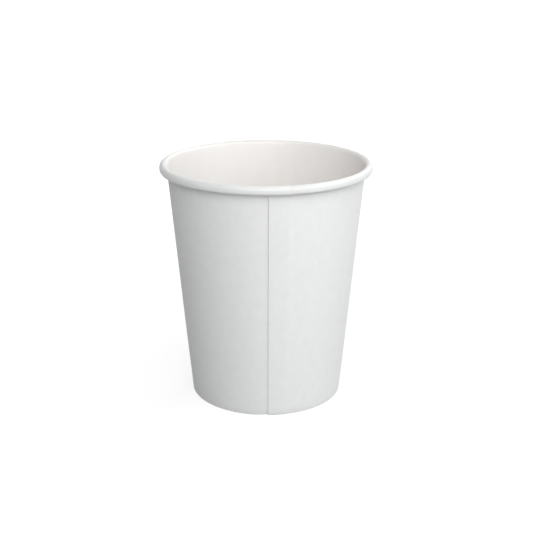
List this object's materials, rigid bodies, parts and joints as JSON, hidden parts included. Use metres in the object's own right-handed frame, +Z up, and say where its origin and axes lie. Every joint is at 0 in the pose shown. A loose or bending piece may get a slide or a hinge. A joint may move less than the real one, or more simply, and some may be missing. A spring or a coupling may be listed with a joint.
{
  "type": "paper cup",
  "caption": "Tapered single-wall paper cup with a rolled rim, a lapped side seam and a recessed bottom held in a folded-in skirt.",
  "frame": {"origin": "centre of the foot, on the table", "axes": "+Z up through the mouth, side seam facing -Y"},
  "size_m": [0.08, 0.0801, 0.0911],
  "materials": {
    "wall_board": "matt white coated board",
    "bottom_board": "matt white coated board"
  },
  "bodies": {
    "root": {"side_wall": "wall_board", "bottom_disc": "bottom_board"}
  },
  "joints": []
}
